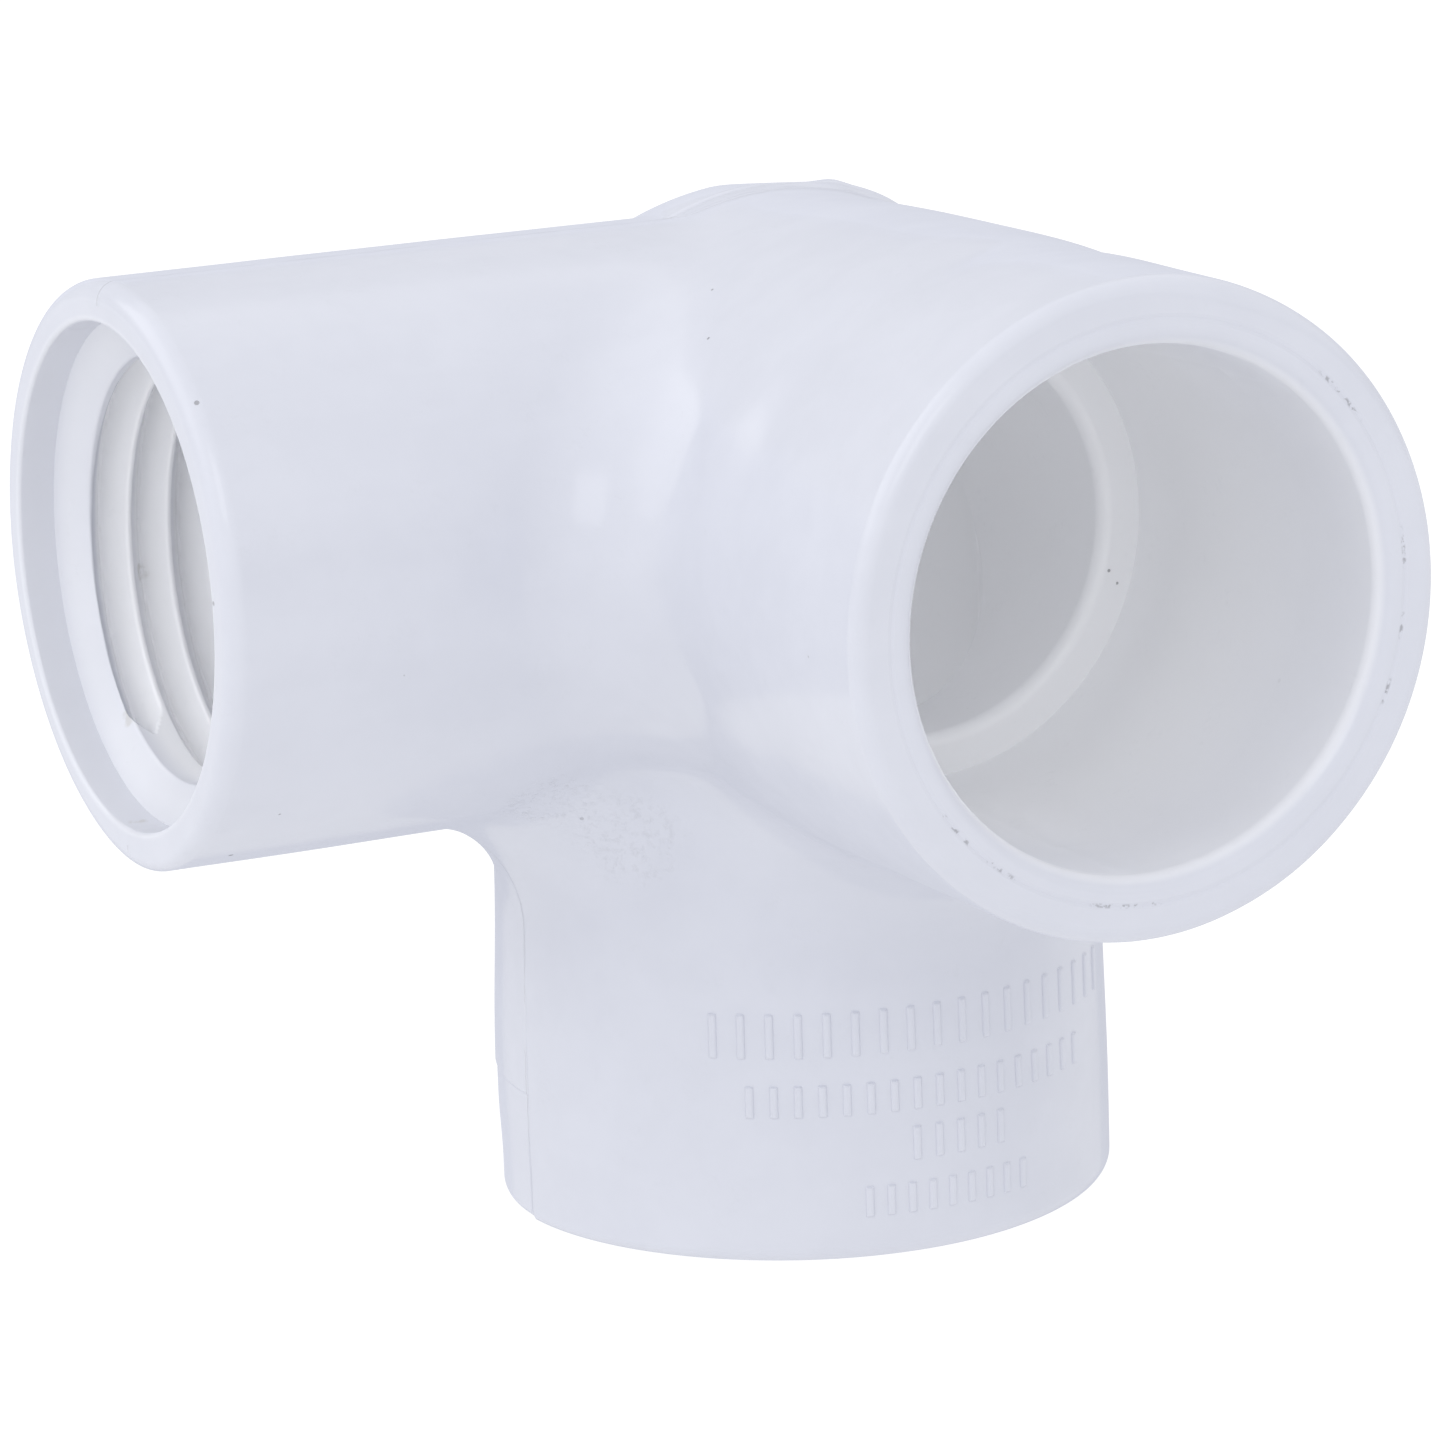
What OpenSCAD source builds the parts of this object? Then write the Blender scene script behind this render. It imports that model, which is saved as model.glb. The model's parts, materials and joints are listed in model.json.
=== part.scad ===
// Side-outlet pipe elbow: two pipe sockets and one threaded outlet, each at right angles to the others.
// It is a single plastic moulding. Each node below is one named region of it, and the regions meet face
// to face. The origin is the point where the three axes cross. The threaded outlet opens to -X, the
// front socket to -Y and the bottom socket to -Z.

/* [Pipe] */
// Diameter of the pipe sockets, half way along their slight taper
socket_d = 21.4; // [21.3:0.1:21.6]
// Diameter of the water passage
passage_d = 17.2; // [15.8:0.1:17.4]

/* [Reach] */
// From the centre to the face of the front socket
front_reach = 31.25; // [30:0.05:33]
// From the centre to the face of the bottom socket
bottom_reach = 31.25; // [30:0.05:33]
// From the centre to the face of the threaded outlet
threaded_reach = 31.7; // [31:0.1:33]
// From the centre to the stop at the bottom of a socket
stop_reach = 12.8; // [12.6:0.1:13.2]

/* [Body] */
// Diameter of the round corner
corner_d = 27.3; // [27.2:0.05:27.6]
// Diameter of the front hub's barrel
front_hub_d = 26.95; // [26.9:0.05:27.1]
// Diameter of the bottom hub's barrel at its root
bottom_hub_d = 26.85; // [26.7:0.05:27.1]
// How much wider the bottom hub is where its collar starts
bottom_flare = 0.65; // [0.2:0.05:0.8]
// Diameter of the threaded hub
threaded_hub_d = 25; // [24.6:0.1:25.4]
// Width of the flat on the corner where the moulding gate was cut off
gate_flat_d = 5.3; // [3:0.1:6]
// Tilt of that flat from level
gate_tilt = 9; // [0:1:20]
// Direction in which it tilts, turned from +Y towards +X
gate_turn = 27; // [0:1:90]

/* [Collars] */
// From the centre to where the collar of a socket starts
collar_reach = 25.4; // [24.5:0.1:26.5]
// How far the bottom collar stands in from its flared barrel
collar_step = 0.06; // [0:0.01:0.2]
// Radius of the outer corner of a socket face
socket_corner_r = 0.7; // [0.4:0.05:1]
// Radius of the rounded mouth of a socket
mouth_r = 0.6; // [0.3:0.05:0.8]
// Radius of the fine groove round the socket mouth
groove_ring_r = 11.85; // [11.7:0.05:12]

/* [Thread] */
// Pitch of the pipe thread, 14 to the inch
thread_pitch = 1.814; // [1.81:0.001:1.82]
// Number of thread ridges
thread_ridges = 7; // [5:1:7]
// Radius at the ridge tops, measured at the face of the outlet
thread_crest_r = 9.16; // [9.1:0.01:9.2]
// From the face of the outlet to the first ridge top
thread_start = 2.65; // [2.5:0.05:2.8]
// Depth of the plain recess in front of the thread
recess_depth = 1.65; // [1.5:0.05:1.7]
// Radius of the plain recess
recess_r = 10.75; // [10.7:0.05:10.9]

/* [Hidden] */
$fn = 128;
pvc = [0.86, 0.87, 0.91];

socket_r = socket_d / 2;
passage_r = passage_d / 2;
corner_r = corner_d / 2;
front_r = front_hub_d / 2;
bottom_r = bottom_hub_d / 2;
threaded_r = threaded_hub_d / 2;
gate_height = sqrt(pow(corner_r, 2) - pow(gate_flat_d / 2, 2));

// Where the corner body ends and each hub starts
joint_reach = 18.5;
// Radius of the inner sleeve with which a socket hub reaches in to the stop
sleeve_r = 12;
// The threaded hub's sleeve, and how far in it reaches
thread_sleeve_r = 11.4;
thread_sleeve_reach = 16.8;

// How far a cut runs on past the face that it opens
overrun = 1;

// The fine groove in a socket face
groove_w = 0.22;
groove_depth = 0.12;

// Pipe thread: 60 degree ridges with small flat tops and roots, narrowing 1 in 16 on diameter
crest_flat = 0.22;
root_flat = 0.12;
ridge_h = (thread_pitch - crest_flat - root_flat) / 2 * tan(60);
threaded_corner_r = 0.9;
mouth_edge = 0.15;
thread_end = thread_start + (thread_ridges - 1) * thread_pitch;

// Points of a quarter round, from one angle to another
arc_steps = 8;
function arc(cx, cy, r, from, to) =
    [for (i = [0:arc_steps]) let (a = from + (to - from) * i / arc_steps) [cx + r * cos(a), cy + r * sin(a)]];

// Ridge top radius at a given depth below the outlet's face
function crest_r(depth) = thread_crest_r - depth / 32;

// One ridge, from its outer foot over the flat top to its inner foot, as [radius, reach] points
function ridge(depth) = [
    [crest_r(depth) + ridge_h, threaded_reach - depth + crest_flat / 2 + ridge_h / tan(60)],
    [crest_r(depth), threaded_reach - depth + crest_flat / 2],
    [crest_r(depth), threaded_reach - depth - crest_flat / 2],
    [crest_r(depth) + ridge_h, threaded_reach - depth - crest_flat / 2 - ridge_h / tan(60)]
];

// The ridges behind the first one, all in one list
function later_ridges() =
    [for (i = [1:thread_ridges - 1], p = ridge(thread_start + i * thread_pitch)) p];

// Outline of a socket collar, as [radius, reach] points
function collar_outline(outer, reach) = concat(
    [[outer, collar_reach]],
    arc(outer - socket_corner_r, reach - socket_corner_r, socket_corner_r, 0, 90),
    [
        [groove_ring_r + groove_w / 2, reach],
        [groove_ring_r, reach - groove_depth],
        [groove_ring_r - groove_w / 2, reach]
    ],
    arc(socket_r + mouth_r, reach - mouth_r, mouth_r, 90, 180),
    [[socket_r, collar_reach]]
);

// Outline of a socket hub behind its collar, with the sleeve that reaches in to the stop
function socket_outline(root_r, end_r) = [
    [root_r, joint_reach],
    [end_r, collar_reach],
    [socket_r, collar_reach],
    [socket_r, stop_reach],
    [sleeve_r, stop_reach],
    [sleeve_r, joint_reach]
];

// Outline of the threaded hub: face, recess, first ridge, the other ridges, then the passage
function threaded_outline() = concat(
    [[threaded_r, joint_reach]],
    arc(
        threaded_r - threaded_corner_r, threaded_reach - threaded_corner_r,
        threaded_corner_r, 0, 90
    ),
    [
        [recess_r + mouth_edge, threaded_reach],
        [recess_r, threaded_reach - mouth_edge],
        [recess_r, threaded_reach - recess_depth],
        [crest_r(thread_start), threaded_reach - thread_start + crest_flat / 2],
        [crest_r(thread_start), threaded_reach - thread_start - crest_flat / 2],
        [crest_r(thread_start) + ridge_h, threaded_reach - thread_start - crest_flat / 2 - ridge_h / tan(60)]
    ],
    later_ridges(),
    [
        [passage_r, threaded_reach - thread_end - crest_flat / 2 - 2 * ridge_h / tan(60)],
        [passage_r, thread_sleeve_reach],
        [thread_sleeve_r, thread_sleeve_reach],
        [thread_sleeve_r, joint_reach]
    ]
);

// Turns a shape built upwards round Z so that its far end points along each outlet's axis
module to_threaded() { rotate([0, -90, 0]) children(); }
module to_front() { rotate([90, 0, 0]) children(); }
module to_bottom() { rotate([180, 0, 0]) children(); }

// The outside of the corner: a ball with the gate's flat on it, and the roots of the three hubs
module corner_outside() {
    difference() {
        sphere(r = corner_r);
        rotate([-gate_tilt, 0, -gate_turn]) translate([0, 0, gate_height]) cylinder(r = corner_r, h = corner_r);
    }
    to_threaded() cylinder(r = threaded_r, h = joint_reach);
    to_front() cylinder(r = front_r, h = joint_reach);
    to_bottom() cylinder(r = bottom_r, h = joint_reach);
}

// The passages: a ball at the centre and a round way out along each axis
module passages() {
    sphere(r = passage_r);
    to_threaded() cylinder(r = passage_r, h = joint_reach + overrun);
    to_front() cylinder(r = passage_r, h = joint_reach + overrun);
    to_bottom() cylinder(r = passage_r, h = joint_reach + overrun);
}

// The room that the hubs' inner sleeves fill
module sleeve_room() {
    to_threaded() translate([0, 0, thread_sleeve_reach]) cylinder(r = thread_sleeve_r, h = joint_reach);
    to_front() translate([0, 0, stop_reach]) cylinder(r = sleeve_r, h = joint_reach);
    to_bottom() translate([0, 0, stop_reach]) cylinder(r = sleeve_r, h = joint_reach);
}

module corner_body() {
    color(pvc)
    difference() {
        corner_outside();
        passages();
        sleeve_room();
    }
}

module threaded_hub() {
    color(pvc)
    to_threaded()
    rotate_extrude()
    polygon(threaded_outline());
}

module front_socket() {
    color(pvc)
    to_front()
    rotate_extrude()
    polygon(socket_outline(front_r, front_r));
}

module front_collar() {
    color(pvc)
    to_front()
    rotate_extrude()
    polygon(collar_outline(front_r, front_reach));
}

module bottom_socket() {
    color(pvc)
    to_bottom()
    rotate_extrude()
    polygon(socket_outline(bottom_r, bottom_r + bottom_flare / 2));
}

module bottom_collar() {
    color(pvc)
    to_bottom()
    rotate_extrude()
    polygon(collar_outline(bottom_r + bottom_flare / 2 - collar_step, bottom_reach));
}

corner_body();
threaded_hub();
front_socket();
front_collar();
bottom_socket();
bottom_collar();
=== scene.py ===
"""Looks of the side-outlet pipe elbow: one white plastic moulding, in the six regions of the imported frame.

Sizes below are in millimetres and come from the frame where it holds them. Meshes are made in metres.
Each outlet has its own frame: its axis, then two directions across it. A point of an outlet is given by
its reach from the centre along the axis, its radius and its angle round the axis.
"""

import json
import math
from itertools import combinations

import bpy
import numpy as np
from mathutils import Matrix, Vector

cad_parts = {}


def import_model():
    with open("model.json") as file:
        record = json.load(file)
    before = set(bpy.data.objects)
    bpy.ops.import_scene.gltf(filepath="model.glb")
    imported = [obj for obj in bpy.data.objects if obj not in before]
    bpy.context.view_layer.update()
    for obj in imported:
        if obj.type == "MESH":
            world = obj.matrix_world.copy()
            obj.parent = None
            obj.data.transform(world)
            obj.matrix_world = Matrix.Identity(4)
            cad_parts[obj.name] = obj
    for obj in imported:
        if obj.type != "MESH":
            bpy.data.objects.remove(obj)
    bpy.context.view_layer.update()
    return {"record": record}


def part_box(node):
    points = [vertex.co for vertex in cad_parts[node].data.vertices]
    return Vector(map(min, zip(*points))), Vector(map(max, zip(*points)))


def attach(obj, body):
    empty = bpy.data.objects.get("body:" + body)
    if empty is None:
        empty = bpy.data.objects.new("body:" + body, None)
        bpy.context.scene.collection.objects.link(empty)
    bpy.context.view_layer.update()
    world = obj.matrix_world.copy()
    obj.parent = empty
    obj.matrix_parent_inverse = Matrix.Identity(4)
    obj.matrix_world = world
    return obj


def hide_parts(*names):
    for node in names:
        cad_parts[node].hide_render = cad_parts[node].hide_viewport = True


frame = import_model()

MM = 0.001


# ---------------------------------------------------------------- sizes, mm

def low(node, axis):
    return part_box(node)[0]["xyz".index(axis)] / MM


def high(node, axis):
    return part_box(node)[1]["xyz".index(axis)] / MM


JOINT_REACH = -low("corner_body", "x")
COLLAR_REACH = -low("front_socket", "y")
STOP_REACH = -high("front_socket", "y")
SLEEVE_REACH = -high("threaded_hub", "x")
FRONT_REACH = -low("front_collar", "y")
BOTTOM_REACH = -low("bottom_collar", "z")
THREADED_REACH = -low("threaded_hub", "x")
BALL_R = high("corner_body", "y")
FRONT_R = high("front_collar", "x")
THREADED_R = high("threaded_hub", "y")
BOTTOM_COLLAR_R = high("bottom_collar", "x")
MOUNTS = {mount["name"]: mount for mount in frame["record"]["mounts"]}
BORE_R = MOUNTS["front_socket"]["dims"]["r_mm"]
BORE_END_R = BORE_R - 0.25

ROOT_R = 13.2
PASSAGE_R = 8.6
SOCKET_SLEEVE_R = 12.0
THREAD_SLEEVE_R = 11.4
# Fillets between the hubs, and the share of their radius that is lost in the crease at the top back
FILLET_R, FILLET_LOST = 5.6, 0.85
BALL_BLEND = 0.15
BALL_CENTRE = (0.08, 0.0, -0.05)
STOP_ROUND = 0.6
WAVE_DEPTH = 0.03

# The flat where the moulding gate was cut off, the burr it left along one edge, and the dent beside it
GATE_R, GATE_EDGE = 2.65, 0.12
GATE_TILT = math.radians(9)
GATE_TURN = math.radians(27)
BURR_PLACE, BURR_WIDTH, BURR_HEIGHT = (3.1, 0.7, 13.2), (0.6, 0.8, 1.6), 0.12
DENT_PLACE, DENT_WIDTH, DENT_DEPTH = (7.4, 0.9, 11.5), (1.5, 1.3, 2.2), 0.3

# Faces of the outlets
SOCKET_CORNER_R = 0.7
MOUTH_R = 0.8
GROOVE_R, GROOVE_WIDTH, GROOVE_DEPTH = 11.85, 0.3, 0.04
THREADED_CORNER_R = 0.9

# Pipe thread: 14 to the inch, 60 degrees, 1 in 16 taper on diameter, right hand
PITCH = 25.4 / 14
CREST_R_AT_FACE = 9.16
TAPER = 1 / 32
RIDGE_HEIGHT, CREST_CUT, THREAD_ROUND = 1.276, 0.18, 0.12
FLANK_SLOPE = math.tan(math.radians(60))
RECESS_R, RECESS_DEPTH, RECESS_EDGE_R = 10.75, 1.65, 0.2
GROOVE_START_ANGLE = math.radians(-65)
GROOVE_START_DEPTH = 3.2
GROOVE_TURNS = 6.2
GROOVE_FADE, GROOVE_SUNK = math.radians(14), 0.3
THREAD_END_DEPTH = 15.2

# Colour of the plastic, from its darker to its lighter clouds
COLOUR_LOW, COLOUR_HIGH = (0.592, 0.609, 0.684, 1), (0.612, 0.629, 0.704, 1)
# Painted light: deep in the bores the colour is painted paler, a painted glow that stands in for light that
# comes through the wall and gathers there
COLOUR_PAINTED_GLOW = (0.96, 0.966, 0.988, 1)
# Colours that wear and dirt blend towards
COLOUR_RUBBED = (0.42, 0.43, 0.47, 1)
COLOUR_PARTING = (0.40, 0.41, 0.45, 1)
COLOUR_SPECK = (0.16, 0.16, 0.17, 1)
COLOUR_DIRT = (0.13, 0.13, 0.14, 1)
COLOUR_STAIN = (0.40, 0.38, 0.33, 1)
ROUGHNESS = 0.16
PLASTIC_IOR = 1.5

# Places of wear and dirt: x, y, z and radius
RUBBED = [(-15.2, -7.2, -10.6, 2.2), (-12.0, -7.5, -12.6, 2.4)]
NICKS = [
    (-9.6, -12.1, 9.4, 0.07), (-9.5, -18.0, 9.7, 0.07), (-7.9, -9.2, 10.9, 0.06),
    (-31.1, -8.9, 8.7, 0.10), (-31.6, -11.0, 0.9, 0.13), (-28.4, -8.9, -8.8, 0.07),
    (-29.4, -5.8, -11.0, 0.10), (-24.0, -12.2, -2.9, 0.06), (9.1, -16.4, 5.6, 0.12),
    (8.9, -12.8, -2.6, 0.07), (9.3, -12.8, -3.2, 0.06),
]
DIRTY = [
    (-1.5, -31.2, -11.7, 1.5), (-9.2, -31.2, -7.5, 0.9), (-7.2, -31.2, -9.4, 0.7), (8.9, -31.2, 7.8, 1.3),
    (11.8, -31.2, 1.2, 0.8), (11.7, -31.2, -2.0, 0.5), (10.9, -31.2, -4.6, 0.5),
]
STAINS = [(-29.2, 5.5, -7.4, 0.4), (-26.6, 9.8, -2.1, 0.4), (-30.9, 0.6, -10.7, 0.4)]

# Rows of plain raised ticks in place of the maker's raised lettering: middle angle, angle between ticks,
# how many, height up the hub, and half the height of a tick
MARK_ROWS = [
    (-89.5, 5.2, 18, -21.1, 1.05), (-92.0, 4.4, 17, -24.0, 0.75),
    (-88.0, 4.4, 5, -26.2, 0.80), (-90.0, 4.0, 9, -28.6, 0.72),
]
MARK_HALF_WIDTH, MARK_HEIGHT, MARK_EDGE, MARK_SUNK = 0.2, 0.1, 0.18, 0.06

# Brightness of the studio, and what each part of it adds
STUDIO_LEVEL = 1.10
FRONT_LEFT, FRONT_LEFT_MORE = (-0.85, -0.53, 0.0), 0.10
ABOVE_MORE = 0.04
DARK_PANEL, LIGHT_PANEL, LOW_BAND = -0.35, 0.7, -0.3
FLOOR_GREY, FLOOR_GLOW = 0.15, 0.92

# Lengths of the stage in metres, angles of the camera in degrees, its lens and sensor in millimetres
FLOOR_HALF = 3.0
CAMERA_PLACE = (-0.12333, -0.23633, 0.05333)
CAMERA_AZIMUTH, CAMERA_ELEVATION, CAMERA_ROLL = -26.88, 13.44, -1.93
CAMERA_LENS, CAMERA_SENSOR = 154.6, 36

# How fine the meshes are, and how long and how far the outer wall is searched for
SEGMENTS = 256
SIDE = SEGMENTS // 4
RINGS = 26
THREAD_ROWS = 230
HALVINGS = 44
WALL_STEPS, MARK_STEPS = 24, 12
NEAREST, FURTHEST = 10.0, 26.0

# Points in the same cell of this grid, in cells per millimetre, are one vertex
WELD_CELLS, WELD_SHIFT = 2000, 0.137

OUTLETS = {
    "threaded": (Vector((-1, 0, 0)), Vector((0, 1, 0)), Vector((0, 0, 1))),
    "front": (Vector((0, -1, 0)), Vector((0, 0, 1)), Vector((1, 0, 0))),
    "bottom": (Vector((0, 0, -1)), Vector((1, 0, 0)), Vector((0, 1, 0))),
}
OUTLETS = {name: tuple(np.array(v) for v in vectors) for name, vectors in OUTLETS.items()}
ANGLES = np.linspace(0, 2 * math.pi, SEGMENTS + 1)
ANGLES[-1] = 0.0


# ---------------------------------------------------------------- outside of the moulding

def ease(x):
    x = np.clip(x, 0.0, 1.0)
    return x * x * (3 - 2 * x)


def unit(v):
    return v / np.linalg.norm(v, axis=-1, keepdims=True)


def soft_min(a, b, k):
    h = np.maximum(k - np.abs(a - b), 0) / k
    return np.minimum(a, b) - h * h * k / 4


def soft_max(a, b, k):
    return -soft_min(-a, -b, k)


def barrel(points, name, radius):
    """Distance outside an outlet's barrel, which has a round end at the centre, and its outward direction."""
    axis = OUTLETS[name][0]
    along = np.maximum(points @ axis, 0)
    across = points - along[..., None] * axis
    distance = np.linalg.norm(across, axis=-1)
    return distance - radius(along, points), across / distance[..., None]


def rolled(distances, outward, radius):
    """Joins solids with a fillet, as left by a ball of that radius rolled along every crease between them.

    The ball's centre stays outside planes that stand off from the solids by its radius. The nearest such
    place to a point is on one plane, on the line where two meet, or at the corner where three meet.
    """
    gap = [radius - d for d in distances]
    furthest = np.maximum.reduce(gap)
    for i, j in combinations(range(len(gap)), 2):
        c = np.einsum("...k,...k->...", outward[i], outward[j])
        open_angle = np.maximum(1 - c * c, 1e-9)
        valid = (gap[i] > gap[j] * c) & (gap[j] > gap[i] * c) & (gap[i] > 0) & (gap[j] > 0)
        line = np.sqrt(np.maximum(gap[i] ** 2 + gap[j] ** 2 - 2 * gap[i] * gap[j] * c, 0) / open_angle)
        furthest = np.where(valid & (open_angle > 1e-4), np.maximum(furthest, line), furthest)
    facing = np.stack(outward, axis=-2)
    gram = facing @ np.swapaxes(facing, -1, -2)
    solvable = np.linalg.det(gram) > 1e-3
    gram = np.where(solvable[..., None, None], gram, np.eye(3))
    gaps = np.stack(gap, axis=-1)
    weights = np.linalg.solve(gram, gaps[..., None])[..., 0]
    corner = np.sqrt(np.maximum(np.einsum("...k,...k->...", gaps, weights), 0))
    valid = solvable & (weights > 0).all(axis=-1) & (gaps > 0).all(axis=-1)
    furthest = np.where(valid, np.maximum(furthest, corner), furthest)
    return radius - furthest


def swell(x, centre, width):
    return np.exp(-((x - centre) / width) ** 2)


def threaded_radius(reach, points):
    """Straight, and pinched a little at the mouth where it faces down and back."""
    low_back = ease((points[..., 1] - points[..., 2]) / 17 - 0.3)
    under = ease(-points[..., 2] / 12)
    return THREADED_R - swell(reach, THREADED_REACH, 4) * (0.12 * low_back + 0.05 * under)


def front_radius(reach, points):
    """Slim at the root, with a sink mark on top before the mouth and a mouth a little out of round."""
    oval = 0.09 * ease(points[..., 0] / 12) * ease(0.5 + points[..., 2] / 16) * ease((reach - 20) / 8)
    sink = (0.02 + 0.12 * ease(points[..., 2] / 10)) * swell(reach, 20.8, 2.0)
    return FRONT_R - (FRONT_R - ROOT_R) * swell(reach, 0, 7) + 0.03 * swell(reach, 16.5, 3) - sink - oval


def back_half(points):
    """0 in the mould's front half and 1 in its back half, which part at the plane y = 0."""
    return ease(points[..., 1] / 0.45 + 0.65)


def bottom_radius(reach, points):
    """Flares towards the mouth. The back half flares more, then steps in at the collar."""
    root = ROOT_R + 0.25 * ease(reach / 14)
    front = root + 0.12 * ease((reach - 14) / 6) + 0.16 * ease((reach - 18) / 10)
    back = root + 0.29 * ease((reach - 16) / 10) - 0.07 * ease((reach - COLLAR_REACH) / 0.15)
    back = back - 0.1 * ease((reach - 27) / 3)
    return front + (back - front) * back_half(points)


def outside(points):
    """Negative in the moulding's outer form, zero on its surface and positive outside it."""
    near = [
        barrel(points, "threaded", threaded_radius),
        barrel(points, "front", front_radius),
        barrel(points, "bottom", bottom_radius),
    ]
    behind = ease(points[..., 1] / 0.6) * ease(points[..., 2] / 3)
    form = rolled(*zip(*near), FILLET_R * (1 - FILLET_LOST * behind))
    ball_r = ROOT_R + (BALL_R - ROOT_R) * back_half(points)
    ball = np.linalg.norm(points - np.array(BALL_CENTRE), axis=-1) - ball_r
    form = soft_min(form, ball, BALL_BLEND)
    gate_up = np.array((
        math.sin(GATE_TILT) * math.sin(GATE_TURN),
        math.sin(GATE_TILT) * math.cos(GATE_TURN),
        math.cos(GATE_TILT),
    ))
    gate = points @ gate_up - math.sqrt(BALL_R ** 2 - GATE_R ** 2)
    form = soft_max(form, gate, GATE_EDGE)
    burr = BURR_HEIGHT * bump_at(points, BURR_PLACE, BURR_WIDTH)
    dent = DENT_DEPTH * bump_at(points, DENT_PLACE, DENT_WIDTH)
    return form - burr + dent + unevenness(points)


def bump_at(points, place, width):
    """1 at a place, falling away smoothly over its widths along x, y and z."""
    return np.exp(-(((points - np.array(place)) / np.array(width)) ** 2).sum(axis=-1))


def unevenness(points):
    """How far the skin sank in as the plastic shrank, from nothing up to WAVE_DEPTH."""
    x, y, z = (points[..., k] for k in range(3))
    waves = (
        np.sin(0.31 * x + 0.17 * y + 0.23 * z + 1.0) + np.sin(0.42 * y - 0.27 * z + 0.19 * x + 4.1)
        + 0.6 * np.sin(0.71 * z + 0.53 * x + 2.2) + 0.4 * np.sin(0.93 * x - 0.81 * y + 0.64 * z)
    )
    return WAVE_DEPTH * (0.5 + waves / 6)


def outer_normals(points, step=1e-4):
    """The unit direction in which the distance outside the moulding grows fastest."""
    slope = np.stack([
        outside(points + step * e) - outside(points - step * e) for e in np.eye(3)
    ], axis=-1)
    return unit(slope)


def outer_points(directions):
    """Where rays from the centre leave the moulding."""
    a = np.full(directions.shape[:-1], NEAREST)
    b = np.full(directions.shape[:-1], FURTHEST)
    for _ in range(HALVINGS):
        mid = (a + b) / 2
        inside = outside(directions * mid[..., None]) < 0
        a = np.where(inside, mid, a)
        b = np.where(inside, b, mid)
    return directions * ((a + b) / 2)[..., None]


# ---------------------------------------------------------------- meshes

class Skin:
    """Grids of points, each with its own exact normals, gathered into one closed mesh."""

    def __init__(self):
        self.points, self.normals, self.quads, self.count = [], [], [], 0

    def add(self, points, normals):
        rows, columns = points.shape[:2]
        number = np.arange(rows * columns).reshape(rows, columns) + self.count
        quads = np.stack(
            [number[:-1, :-1], number[:-1, 1:], number[1:, 1:], number[1:, :-1]], axis=-1
        ).reshape(-1, 4)
        self.points.append(points.reshape(-1, 3))
        self.normals.append(np.broadcast_to(normals, points.shape).reshape(-1, 3))
        self.quads.append(quads)
        self.count += rows * columns

    def build(self, name):
        points = np.concatenate(self.points)
        normals = np.concatenate(self.normals)
        quads = np.concatenate(self.quads)
        key = np.round(points * WELD_CELLS + WELD_SHIFT).astype(np.int64)
        _, first, same = np.unique(key, axis=0, return_index=True, return_inverse=True)
        same = same.reshape(-1)
        # turn each quad so that it faces the way its normals do
        a, b, c, d = (points[quads[:, i]] for i in range(4))
        facing = np.einsum("ij,ij->i", np.cross(c - a, d - b), normals[quads].sum(axis=1))
        quads[facing < 0] = quads[facing < 0][:, ::-1]
        faces, corner_normals = [], []
        for quad in quads:
            kept = [i for n, i in enumerate(quad) if same[i] != same[quad[n - 1]]]
            if len({same[i] for i in kept}) >= 3:
                faces.append([int(same[i]) for i in kept])
                corner_normals.extend(normals[kept])
        mesh = bpy.data.meshes.new(name)
        mesh.from_pydata((points[first] * MM).tolist(), [], faces)
        mesh.update()
        mesh.polygons.foreach_set("use_smooth", [True] * len(mesh.polygons))
        mesh.normals_split_custom_set(np.array(corner_normals).tolist())
        obj = bpy.data.objects.new(name, mesh)
        bpy.context.scene.collection.objects.link(obj)
        return obj


def placed(name, reach, radius, angles=ANGLES):
    """Points at a reach, radius and angle of an outlet, for arrays that broadcast."""
    axis, side, up = OUTLETS[name]
    reach, radius, angles = np.broadcast_arrays(reach, radius, angles)
    round_it = np.cos(angles)[..., None] * side + np.sin(angles)[..., None] * up
    return reach[..., None] * axis + radius[..., None] * round_it


def near_angle(degrees, width):
    """1 at an angle round an outlet, fading to 0 over a width on both sides."""
    away = np.angle(np.exp(1j * (ANGLES - math.radians(degrees))))
    return swell(away, 0, math.radians(width))


def columns_of(rows):
    """Numbers, one to a row, as an array with a column for every angle, or one if all angles are alike."""
    return np.stack(np.broadcast_arrays(*rows)).reshape(len(rows), -1)


def turned(skin, name, outline):
    """Turns a smooth run of outline round an axis. Its rows are radius, reach, radial and axial normal."""
    radius, reach, out, along = (columns_of(column) for column in zip(*outline))
    points = placed(name, reach, radius)
    skin.add(points, placed(name, along, out))


def straight(start, end, rows=1):
    """A straight run of outline from one (radius, reach) to another, solid on its left."""
    (r0, s0), (r1, s1) = start, end
    length = np.hypot(r1 - r0, s1 - s0)
    out, along = (s1 - s0) / length, (r0 - r1) / length
    steps = [i / rows for i in range(rows + 1)]
    return [(r0 + (r1 - r0) * t, s0 + (s1 - s0) * t, out, along) for t in steps]


def bend(centre, radius, start, end, rows=10):
    """A round run of outline about a (radius, reach) centre, from one angle in degrees to another."""
    (r, s), outline = centre, []
    hollow = -1 if end < start else 1
    for i in range(rows + 1):
        a = math.radians(start + (end - start) * i / rows)
        outline.append((
            r + radius * math.cos(a), s + radius * math.sin(a),
            hollow * math.cos(a), hollow * math.sin(a),
        ))
    return outline


def wall_radius(name, reach):
    """The radius of an outlet's outer wall at every angle, found on the moulding's outer form."""
    reach = reach + 0 * ANGLES
    radius = np.full_like(reach, 13.0)
    for _ in range(WALL_STEPS):
        radius = radius - outside(placed(name, reach, radius))
    return radius


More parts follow.
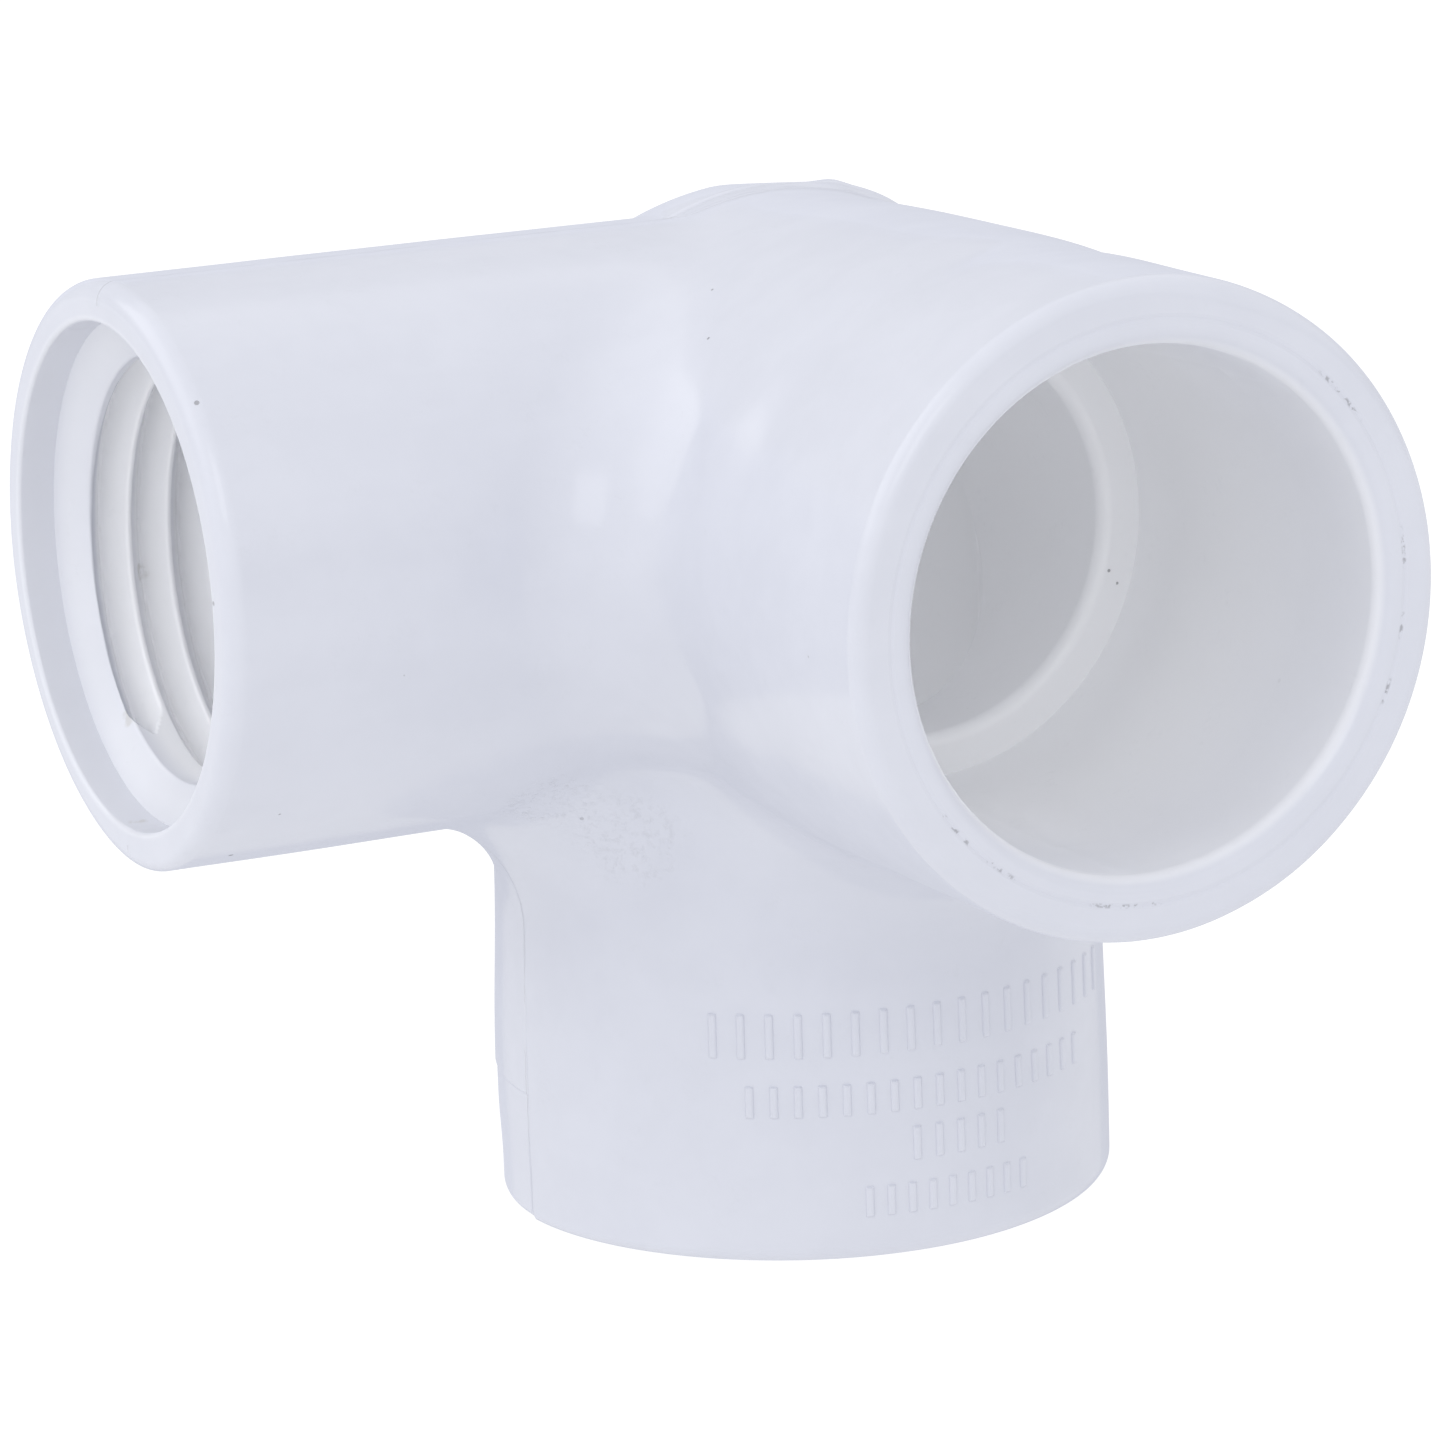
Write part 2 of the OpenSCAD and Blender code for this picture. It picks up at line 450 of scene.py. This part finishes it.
def outer_wall(skin, name, reaches):
    """The outer surface of an outlet along its barrel, for rows of reaches that may differ with the angle."""
    reach = columns_of(reaches)
    points = placed(name, reach, wall_radius(name, reach))
    skin.add(points, outer_normals(points))


def spread(start, end, spacing=0.5):
    return list(np.linspace(start, end, max(2, round((np.max(end) - start) / spacing) + 1)))


# ---------------------------------------------------------------- corner body

def hub_directions(name, hole):
    """Directions round an outlet, from a round hole of that slope out to the square edge of its cube face."""
    axis, side, up = OUTLETS[name]
    edge = 1 / np.maximum(np.abs(np.cos(ANGLES)), np.abs(np.sin(ANGLES)))
    t = np.linspace(0, 1, RINGS + 1)[:, None]
    slope = hole + (edge - hole) * t
    round_it = np.cos(ANGLES)[:, None] * side + np.sin(ANGLES)[:, None] * up
    return unit(axis + slope[..., None] * round_it)


def plain_directions(name):
    """Directions over the cube face opposite an outlet."""
    axis, side, up = OUTLETS[name]
    t = np.tan(np.linspace(-1, 1, SIDE + 1) * math.pi / 4)
    return unit(-axis + t[:, None, None] * side + t[None, :, None] * up)


def passage_wall(directions):
    """Where rays from the centre meet the passages: a ball with three round ways out."""
    furthest = np.full(directions.shape[:-1], PASSAGE_R)
    centre_line = np.zeros(directions.shape)
    for axis, _, _ in OUTLETS.values():
        along = directions @ axis
        across = np.sqrt(np.maximum(1 - along ** 2, 1e-12))
        reach = np.where(along > 0, PASSAGE_R / across, 0)
        further = reach > furthest + 1e-9
        furthest = np.where(further, reach, furthest)
        centre_line = np.where(further[..., None], (along * reach)[..., None] * axis, centre_line)
    points = directions * furthest[..., None]
    return points, -unit(points - centre_line)


def corner_body():
    skin = Skin()
    for name in OUTLETS:
        rim = wall_radius(name, JOINT_REACH)
        points = outer_points(hub_directions(name, rim / JOINT_REACH))
        skin.add(points, outer_normals(points))
        if name == "threaded":
            way_in = ledge = SLEEVE_REACH
            sleeve = THREAD_SLEEVE_R
            outline = [straight((sleeve, ledge), (PASSAGE_R, ledge), 3)]
        else:
            ledge, sleeve = STOP_REACH, SOCKET_SLEEVE_R
            way_in = ledge - STOP_ROUND
            rounded = PASSAGE_R + STOP_ROUND
            outline = [
                straight((sleeve, ledge), (BORE_END_R, ledge), 2),
                straight((BORE_END_R, ledge), (rounded, ledge), 3),
                bend((rounded, way_in), STOP_ROUND, 90, 180, 8),
            ]
        outline.append(straight((rim, JOINT_REACH), (sleeve, JOINT_REACH), 2))
        outline.append(straight((sleeve, JOINT_REACH), (sleeve, ledge), 6))
        for run in outline:
            turned(skin, name, run)
        points, _ = passage_wall(hub_directions(name, PASSAGE_R / way_in))
        axis = OUTLETS[name][0]
        skin.add(points, -unit(points - (points @ axis)[..., None] * axis))
    for name in OUTLETS:
        directions = plain_directions(name)
        points = outer_points(directions)
        skin.add(points, outer_normals(points))
        skin.add(*passage_wall(directions))
    return skin.build("corner")


# ---------------------------------------------------------------- sockets and collars

def socket_hub(name):
    """A socket's barrel, with the sleeve that reaches in to the stop."""
    skin = Skin()
    root, tip = wall_radius(name, JOINT_REACH), wall_radius(name, COLLAR_REACH)
    outer_wall(skin, name, spread(JOINT_REACH, COLLAR_REACH))
    for run in (
        straight((tip, COLLAR_REACH), (BORE_R, COLLAR_REACH), 3),
        straight((BORE_R, COLLAR_REACH), (BORE_END_R, STOP_REACH), 12),
        straight((BORE_END_R, STOP_REACH), (SOCKET_SLEEVE_R, STOP_REACH), 2),
        straight((SOCKET_SLEEVE_R, STOP_REACH), (SOCKET_SLEEVE_R, JOINT_REACH), 6),
        straight((SOCKET_SLEEVE_R, JOINT_REACH), (root, JOINT_REACH), 2),
    ):
        turned(skin, name, run)
    return skin.build(name + "_barrel")


def socket_collar(name, reach, corner_r):
    """A socket's mouth: rounded outer corner, flat face with a fine groove, and rounded way in."""
    skin = Skin()
    corner = reach - corner_r
    mouth = BORE_R + MOUTH_R
    groove_in, groove_out = GROOVE_R - GROOVE_WIDTH / 2, GROOVE_R + GROOVE_WIDTH / 2
    root, tip = wall_radius(name, COLLAR_REACH), wall_radius(name, corner)
    outer_wall(skin, name, [COLLAR_REACH, COLLAR_REACH + 0.05, COLLAR_REACH + 0.1, *spread(
        COLLAR_REACH + 0.15, corner, 0.4)])
    for run in (
        bend((tip - corner_r, corner), corner_r, 0, 90, 12),
        straight((tip - corner_r, reach), (groove_out, reach), 2),
        straight((groove_out, reach), (GROOVE_R, reach - GROOVE_DEPTH), 2),
        straight((GROOVE_R, reach - GROOVE_DEPTH), (groove_in, reach), 2),
        straight((groove_in, reach), (mouth, reach), 2),
        bend((mouth, reach - MOUTH_R), MOUTH_R, 90, 180, 12),
        straight((BORE_R, reach - MOUTH_R), (BORE_R, COLLAR_REACH), 6),
        straight((BORE_R, COLLAR_REACH), (root, COLLAR_REACH), 3),
    ):
        turned(skin, name, run)
    return skin.build(name + "_mouth")


# ---------------------------------------------------------------- threaded hub

def thread_radius(angle, depth):
    """Radius of the threaded bore, cut by a tapered drill, a lead-in cone and one long helical groove."""
    drill = np.maximum(CREST_R_AT_FACE - depth * TAPER, PASSAGE_R)
    lead_in = RECESS_R - (depth - RECESS_DEPTH) * FLANK_SLOPE
    turn = np.mod(angle - GROOVE_START_ANGLE, 2 * math.pi)
    groove = np.full(np.broadcast(angle, depth).shape, -1.0)
    for lap in range(math.ceil(GROOVE_TURNS) + 1):
        run = turn + lap * 2 * math.pi
        centre = GROOVE_START_DEPTH + PITCH * run / (2 * math.pi)
        end = GROOVE_TURNS * 2 * math.pi
        fade = ease(run / GROOVE_FADE) * ease((end - run) / GROOVE_FADE)
        height = PITCH / 2 * FLANK_SLOPE - CREST_CUT - np.abs(depth - centre) * FLANK_SLOPE
        height = np.minimum(height, RIDGE_HEIGHT) - (1 - fade) * (RIDGE_HEIGHT + GROOVE_SUNK)
        groove = np.maximum(groove, height)
    return soft_max(soft_max(drill, lead_in, THREAD_ROUND), drill + groove, THREAD_ROUND)


def threaded_hub():
    skin = Skin()
    name, reach = "threaded", THREADED_REACH
    corner_r = THREADED_CORNER_R - 0.45 * near_angle(-105, 25) + 0.15 * near_angle(-45, 30)
    corner = reach - corner_r
    root, tip = wall_radius(name, JOINT_REACH), wall_radius(name, corner)
    outer_wall(skin, name, spread(JOINT_REACH, corner))
    thread_start, thread_end = reach - RECESS_DEPTH, reach - THREAD_END_DEPTH
    edge = RECESS_R + RECESS_EDGE_R
    for run in (
        bend((tip - corner_r, corner), corner_r, 0, 90, 14),
        straight((tip - corner_r, reach), (edge, reach), 3),
        bend((edge, reach - RECESS_EDGE_R), RECESS_EDGE_R, 90, 180, 5),
        straight((RECESS_R, reach - RECESS_EDGE_R), (RECESS_R, thread_start), 3),
        straight((PASSAGE_R, SLEEVE_REACH), (THREAD_SLEEVE_R, SLEEVE_REACH), 3),
        straight((THREAD_SLEEVE_R, SLEEVE_REACH), (THREAD_SLEEVE_R, JOINT_REACH), 2),
        straight((THREAD_SLEEVE_R, JOINT_REACH), (root, JOINT_REACH), 2),
    ):
        turned(skin, name, run)
    depth = np.linspace(RECESS_DEPTH, reach - SLEEVE_REACH, THREAD_ROWS + 1)[:, None]
    radius = thread_radius(ANGLES, depth)
    radius[0], radius[-1] = RECESS_R, PASSAGE_R
    step = 1e-3
    by_angle = (thread_radius(ANGLES + step, depth) - thread_radius(ANGLES - step, depth)) / (2 * step)
    by_depth = (thread_radius(ANGLES, depth + step) - thread_radius(ANGLES, depth - step)) / (2 * step)
    axis = OUTLETS[name][0]
    out = placed(name, 0 * radius, 1 + 0 * radius)
    round_it = np.cross(axis, out)
    points = placed(name, reach - depth, radius)
    sideways = (by_angle / radius)[..., None] * round_it * turning(name)
    skin.add(points, unit(-out + sideways - by_depth[..., None] * axis))
    return skin.build("threaded_outlet")


def turning(name):
    """1 where angles of an outlet grow round its axis by the right hand, otherwise -1."""
    axis, side, up = OUTLETS[name]
    return float(np.sign(np.cross(side, up) @ axis))


# ---------------------------------------------------------------- raised marks

def moulding_marks():
    """Rows of low ticks with rounded edges, set into the wall of the bottom hub."""
    skin = Skin()
    steps = np.array([-1, -0.9, -0.8, -0.7, -0.55, -0.35, 0, 0.35, 0.55, 0.7, 0.8, 0.9, 1])
    for middle, between, count, z, half_high in MARK_ROWS:
        for n in range(count):
            u, v = steps[:, None] * MARK_HALF_WIDTH, steps[None, :] * half_high
            angle = math.radians(middle + between * (n - (count - 1) / 2)) + u / BOTTOM_COLLAR_R
            angle, reach = np.broadcast_arrays(angle, -z - v)
            wall = np.full(reach.shape, 13.5)
            for _ in range(MARK_STEPS):
                wall = wall - outside(placed("bottom", reach, wall, angle))
            inside = np.minimum(MARK_HALF_WIDTH - np.abs(u), half_high - np.abs(v)) / MARK_EDGE
            rounded = np.sqrt(1 - (1 - np.clip(inside, 0, 1)) ** 2)
            rise = (MARK_HEIGHT + MARK_SUNK) * rounded - MARK_SUNK
            top = placed("bottom", reach, wall + rise, angle)
            under = placed("bottom", reach, wall - MARK_SUNK - 0.1 * ease(inside), angle)
            skin.add(top, facing_of(top, 1))
            skin.add(under, facing_of(under, -1))
    return skin.build("moulding_marks")


def facing_of(points, side):
    """Normals of a grid from its own neighbours, turned away from the z axis, or towards it if side is -1."""
    normal = np.cross(np.gradient(points, axis=0), np.gradient(points, axis=1))
    outward = points * np.array((1, 1, 0))
    sign = np.sign((normal * outward).sum(axis=-1, keepdims=True))
    return unit(normal * sign * side)


# ---------------------------------------------------------------- material

class Graph:
    """Shader nodes made by nested calls. A socket or a plain value can be given for any input."""

    def __init__(self, tree):
        self.tree = tree

    def node(self, kind, *values, output=0, **settings):
        node = self.tree.nodes.new(kind)
        for name, value in settings.items():
            setattr(node, name, value)
        for index, value in enumerate(values):
            if isinstance(value, bpy.types.NodeSocket):
                self.tree.links.new(value, node.inputs[index])
            elif value is not None:
                node.inputs[index].default_value = value
        return node.outputs[output]

    def math(self, operation, *values):
        return self.node("ShaderNodeMath", *values, operation=operation)

    def vector(self, operation, *values):
        return self.node("ShaderNodeVectorMath", *values, operation=operation)

    def length(self, vector):
        return self.node("ShaderNodeVectorMath", vector, operation="LENGTH", output="Value")

    def product(self, *values):
        result = values[0]
        for value in values[1:]:
            result = self.math("MULTIPLY", result, value)
        return result

    def sum(self, *values):
        result = values[0]
        for value in values[1:]:
            result = self.math("ADD", result, value)
        return result

    def ramp(self, value, start, end):
        """0 at the start and 1 at the end, eased."""
        return self.node("ShaderNodeMapRange", value, start, end, 0.0, 1.0, interpolation_type="SMOOTHSTEP")

    def axes(self, vector):
        """The x, y and z of a vector."""
        split = self.tree.nodes.new("ShaderNodeSeparateXYZ")
        self.tree.links.new(vector, split.inputs[0])
        return split.outputs

    def around(self, place, across):
        """Distance from an axis, given the two directions across it as ones."""
        return self.length(self.vector("MULTIPLY", place, across))

    def noise(self, place, scale, detail=2.0, roughness=0.5):
        node = self.tree.nodes.new("ShaderNodeTexNoise")
        self.tree.links.new(place, node.inputs["Vector"])
        node.inputs["Scale"].default_value = scale
        node.inputs["Detail"].default_value = detail
        node.inputs["Roughness"].default_value = roughness
        return node.outputs["Fac"]

    def blend(self, amount, first, second):
        node = self.tree.nodes.new("ShaderNodeMix")
        node.data_type = "RGBA"
        sockets = [node.inputs[0], node.inputs[6], node.inputs[7]]
        for socket, value in zip(sockets, (amount, first, second)):
            if isinstance(value, bpy.types.NodeSocket):
                self.tree.links.new(value, socket)
            else:
                socket.default_value = value
        return node.outputs[2]


def near_places(graph, place, places):
    """1 within a radius of any of some (x, y, z, radius) places, fading out beyond it."""
    total = 0.0
    for x, y, z, radius in places:
        away = graph.length(graph.vector("SUBTRACT", place, (x, y, z)))
        total = graph.math("MAXIMUM", total, graph.ramp(away, radius * 1.25, radius * 0.75))
    return total


def wear(graph, place):
    """Rubbed patches, strongest in the hollow between the hubs, and dark specks: pin pricks and nicks."""
    coarse = graph.ramp(graph.noise(place, 0.55, 3.0), 0.52, 0.68)
    fine = graph.ramp(graph.noise(place, 3.2, 4.0, 0.7), 0.50, 0.72)
    rubbed = graph.math("MAXIMUM", near_places(graph, place, RUBBED), graph.product(coarse, 0.25))
    cells = graph.tree.nodes.new("ShaderNodeTexVoronoi")
    graph.tree.links.new(place, cells.inputs["Vector"])
    cells.inputs["Scale"].default_value = 0.3
    pick = graph.tree.nodes.new("ShaderNodeSeparateColor")
    graph.tree.links.new(cells.outputs["Color"], pick.inputs[0])
    pricks = graph.product(
        graph.ramp(cells.outputs["Distance"], 0.035, 0.02), graph.ramp(pick.outputs[0], 0.80, 0.86), 0.6)
    return graph.product(rubbed, fine), graph.math("MAXIMUM", pricks, near_places(graph, place, NICKS))


def parting_line(graph, place):
    """The broken line where the mould's halves met, at y = 0 on the outside only."""
    x, y, z = graph.axes(place)
    outer = graph.math("GREATER_THAN", graph.length(place), 11.6)
    for across, along in ((x, z), (z, x)):
        wide = graph.math("GREATER_THAN", graph.math("ABSOLUTE", across), 11.5)
        outer = graph.product(outer, graph.math("MAXIMUM", wide, graph.math("GREATER_THAN", along, -7.0)))
    wobble = graph.product(graph.math("SUBTRACT", graph.noise(place, 0.5), 0.5), 0.12)
    from_line = graph.math("ABSOLUTE", graph.math("ADD", graph.math("ADD", y, 0.1), wobble))
    strength = graph.ramp(graph.noise(place, 0.35, 2.0), 0.25, 0.6)
    return graph.product(graph.ramp(from_line, 0.13, 0.04), outer, strength)


def dirt(graph, place):
    """Crumbs of dirt held in the fine groove of each socket's face, and stains in the threaded mouth."""
    x, y, z = graph.axes(place)
    groove = 0.0
    for across, along, reach in (((1, 0, 1), y, FRONT_REACH), ((1, 1, 0), z, BOTTOM_REACH)):
        from_groove = graph.math("ABSOLUTE", graph.math("SUBTRACT", graph.around(place, across), GROOVE_R))
        on_face = graph.math("LESS_THAN", along, 0.3 - reach)
        groove = graph.math("MAXIMUM", groove, graph.product(graph.ramp(from_groove, 0.12, 0.03), on_face))
    crumbs = graph.ramp(graph.noise(place, 3.8, 3.0, 0.65), 0.50, 0.60)
    blotches = graph.ramp(graph.noise(place, 2.0, 3.0), 0.35, 0.6)
    return (
        graph.product(groove, crumbs, near_places(graph, place, DIRTY)),
        graph.product(near_places(graph, place, STAINS), blotches),
    )


def painted_bore_glow(graph, place):
    """Mask of a painted glow: 0 outside, rising to 1 deep in the bores, and in the thread's grooves, where
    the wall is thin. There the colour is painted paler in place of light that comes through the wall.
    """
    x, y, z = graph.axes(place)
    around_threaded = graph.around(place, (0, 1, 1))
    thin = graph.node("ShaderNodeMapRange", around_threaded, 9.2, 10.0, 0.72, 1.0)
    painted_glow = graph.ramp(graph.length(place), 9.2, 8.8)
    for around, along, at_mouth, start, deep, most in (
        (graph.around(place, (1, 0, 1)), y, 0.45, -30.0, -17.0, 1.0),
        (graph.around(place, (1, 1, 0)), z, 0.45, -30.0, -17.0, 1.0),
        (around_threaded, x, 0.25, -29.2, -28.0, thin),
    ):
        bore = graph.product(graph.ramp(around, 11.1, 10.72), graph.math("LESS_THAN", along, 0.0))
        depth = graph.node("ShaderNodeMapRange", graph.ramp(along, start, deep), 0.0, 1.0, at_mouth, 1.0)
        painted_glow = graph.math("MAXIMUM", painted_glow, graph.product(bore, depth, most))
    return painted_glow


def plastic():
    """White rigid PVC, moulded smooth, with the marks of its mould and of handling. Lengths are in mm."""
    material = bpy.data.materials.new("pvc_white")
    material.use_nodes = True
    graph = Graph(material.node_tree)
    metres = graph.node("ShaderNodeTexCoord", output="Object")
    place = graph.vector("MULTIPLY", metres, (1 / MM, 1 / MM, 1 / MM))

    # clouds in the colour, and streaks drawn out along the threaded hub by the flow of the melt
    clouds = graph.noise(place, 0.16, 3.0)
    streaks = graph.noise(graph.vector("MULTIPLY", place, (0.25, 1.0, 1.0)), 0.45, 2.0)
    patchy = graph.noise(place, 0.9, 2.0)
    tone = graph.sum(graph.product(clouds, 0.5), graph.product(streaks, 0.3), graph.product(patchy, 0.2))

    rubbed, specks = wear(graph, place)
    parting = parting_line(graph, place)
    crumbs, stains = dirt(graph, place)

    colour = graph.blend(graph.ramp(tone, 0.35, 0.65), COLOUR_LOW, COLOUR_HIGH)
    # painted light: the bores are painted paler towards their depths and in the thread's grooves, a painted
    # glow of light through the wall
    colour = graph.blend(painted_bore_glow(graph, place), colour, COLOUR_PAINTED_GLOW)
    for mark, strength, mark_colour in (
        (rubbed, 0.22, COLOUR_RUBBED), (parting, 0.11, COLOUR_PARTING), (specks, 0.6, COLOUR_SPECK),
        (crumbs, 0.5, COLOUR_DIRT), (stains, 0.35, COLOUR_STAIN),
    ):
        colour = graph.blend(graph.product(mark, strength), colour, mark_colour)

    rough = graph.sum(
        ROUGHNESS, graph.product(graph.math("SUBTRACT", patchy, 0.5), 0.10),
        graph.product(graph.math("MAXIMUM", rubbed, crumbs), 0.3))

    # a rippled skin with a fine grain, a raised parting line, and sunk specks and rubbed patches
    ripple, grain = graph.noise(place, 0.45, 1.0), graph.noise(place, 5.0, 2.0)
    height = graph.sum(
        graph.product(ripple, 0.006), graph.product(grain, 0.0008), graph.product(parting, 0.03),
        graph.product(specks, -0.03), graph.product(rubbed, -0.012))
    bump = graph.tree.nodes.new("ShaderNodeBump")
    bump.inputs["Strength"].default_value = 1.0
    bump.inputs["Distance"].default_value = MM
    graph.tree.links.new(height, bump.inputs["Height"])

    # gloss that fades where the surface is seen edge on
    shader = graph.tree.nodes["Principled BSDF"]
    shader.inputs["IOR"].default_value = PLASTIC_IOR
    facing = graph.node("ShaderNodeLayerWeight", 0.5, output="Facing")
    gloss = graph.product(graph.ramp(facing, 0.80, 0.45), 0.5)
    graph.tree.links.new(gloss, shader.inputs["Specular IOR Level"])
    graph.tree.links.new(colour, shader.inputs["Base Color"])
    graph.tree.links.new(rough, shader.inputs["Roughness"])
    graph.tree.links.new(bump.outputs["Normal"], shader.inputs["Normal"])
    return material


def finish_piece(piece, *cad_nodes):
    """Gives a piece its material and its body, and hides the CAD nodes that it stands for."""
    piece.data.materials.append(PLASTIC)
    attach(piece, "root")
    if cad_nodes:
        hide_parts(*cad_nodes)


PLASTIC = plastic()
finish_piece(corner_body(), "corner_body")
# the rounding of each mouth's outer corner varies a little with the angle
front_corner = SOCKET_CORNER_R + 0.35 * near_angle(19, 18)
bottom_corner = SOCKET_CORNER_R - 0.4 * near_angle(172, 35) + 0.15 * near_angle(-40, 50)
finish_piece(socket_hub("front"), "front_socket")
finish_piece(socket_collar("front", FRONT_REACH, front_corner), "front_collar")
finish_piece(socket_hub("bottom"), "bottom_socket")
finish_piece(socket_collar("bottom", BOTTOM_REACH, bottom_corner), "bottom_collar")
finish_piece(threaded_hub(), "threaded_hub")
finish_piece(moulding_marks())


# ---------------------------------------------------------------- stage, light and camera

def floor():
    """A plain table that glows like a light box, so that it stays white all round the fitting."""
    mesh = bpy.data.meshes.new("floor")
    half, z = FLOOR_HALF, -BOTTOM_REACH * MM
    corners = [(-half, -half, z), (half, -half, z), (half, half, z), (-half, half, z)]
    mesh.from_pydata(corners, [], [(0, 1, 2, 3)])
    obj = bpy.data.objects.new("floor", mesh)
    bpy.context.scene.collection.objects.link(obj)
    material = bpy.data.materials.new("pale_floor")
    material.use_nodes = True
    shader = material.node_tree.nodes["Principled BSDF"]
    shader.inputs["Base Color"].default_value = (FLOOR_GREY, FLOOR_GREY, FLOOR_GREY, 1)
    shader.inputs["Roughness"].default_value = 1.0
    shader.inputs["Specular IOR Level"].default_value = 0.0
    shader.inputs["Emission Color"].default_value = (1, 1, 1, 1)
    shader.inputs["Emission Strength"].default_value = FLOOR_GLOW
    mesh.materials.append(material)


def area_light(name, place, aim, size, power):
    light = bpy.data.lights.new(name, "AREA")
    light.shape = "RECTANGLE"
    light.size, light.size_y = size
    light.energy = power
    obj = bpy.data.objects.new(name, light)
    bpy.context.scene.collection.objects.link(obj)
    obj.location = place
    obj.rotation_euler = (Vector(aim) - Vector(place)).to_track_quat("-Z", "Y").to_euler()


def camera():
    """Looks from the front left and a little above, with a slight lean."""
    azimuth, elevation, roll = map(math.radians, (CAMERA_AZIMUTH, CAMERA_ELEVATION, CAMERA_ROLL))
    back = Vector((
        math.sin(azimuth) * math.cos(elevation),
        -math.cos(azimuth) * math.cos(elevation),
        math.sin(elevation),
    ))
    level_right = back.cross(Vector((0, 0, -1))).normalized()
    level_up = back.cross(level_right)
    right = math.cos(roll) * level_right + math.sin(roll) * level_up
    up = math.cos(roll) * level_up - math.sin(roll) * level_right
    data = bpy.data.cameras.new("camera")
    data.lens, data.sensor_width = CAMERA_LENS, CAMERA_SENSOR
    obj = bpy.data.objects.new("camera", data)
    bpy.context.scene.collection.objects.link(obj)
    turn = Matrix((right, up, back)).transposed().to_4x4()
    obj.matrix_world = Matrix.Translation(CAMERA_PLACE) @ turn
    bpy.context.scene.camera = obj


def world():
    """A bright studio, a little lighter above and at the front left, with a few panels round the fitting.

    Each panel is a product of ramps, over the turn from +Y towards +X in radians and over the height: a dark
    one behind, a light one at the back left, and a band that is dim low down everywhere but in front.
    """
    bpy.context.scene.world = bpy.data.worlds.new("studio")
    bpy.context.scene.world.use_nodes = True
    graph = Graph(bpy.context.scene.world.node_tree)
    towards = graph.node("ShaderNodeTexCoord", output="Generated")
    x, y, z = graph.axes(towards)
    turn = graph.math("ARCTAN2", x, y)
    front = graph.node(
        "ShaderNodeVectorMath", towards, FRONT_LEFT, operation="DOT_PRODUCT", output="Value")
    dark_panel = graph.product(
        graph.ramp(turn, -0.50, -0.44), graph.ramp(turn, 0.75, 0.65),
        graph.ramp(z, 0.17, 0.21), graph.ramp(z, 0.74, 0.70))
    light_panel = graph.product(
        graph.ramp(turn, -0.44, -0.50), graph.ramp(turn, -1.9, -1.4),
        graph.ramp(z, 0.25, 0.4), graph.ramp(z, 0.9, 0.7))
    low_band = graph.product(graph.ramp(z, 0.35, 0.15), graph.ramp(front, 0.75, 0.45))
    level = graph.sum(
        STUDIO_LEVEL, graph.product(front, FRONT_LEFT_MORE), graph.product(z, ABOVE_MORE),
        graph.product(dark_panel, DARK_PANEL), graph.product(light_panel, LIGHT_PANEL),
        graph.product(low_band, LOW_BAND))
    background = graph.tree.nodes["Background"]
    background.inputs["Color"].default_value = (1, 1, 1, 1)
    graph.tree.links.new(level, background.inputs["Strength"])


floor()
world()
camera()
area_light("softbox", (-0.7, -0.9, 0.8), (0, 0, 0), (0.6, 0.6), 1.2)
bpy.context.scene.view_settings.view_transform = "Standard"
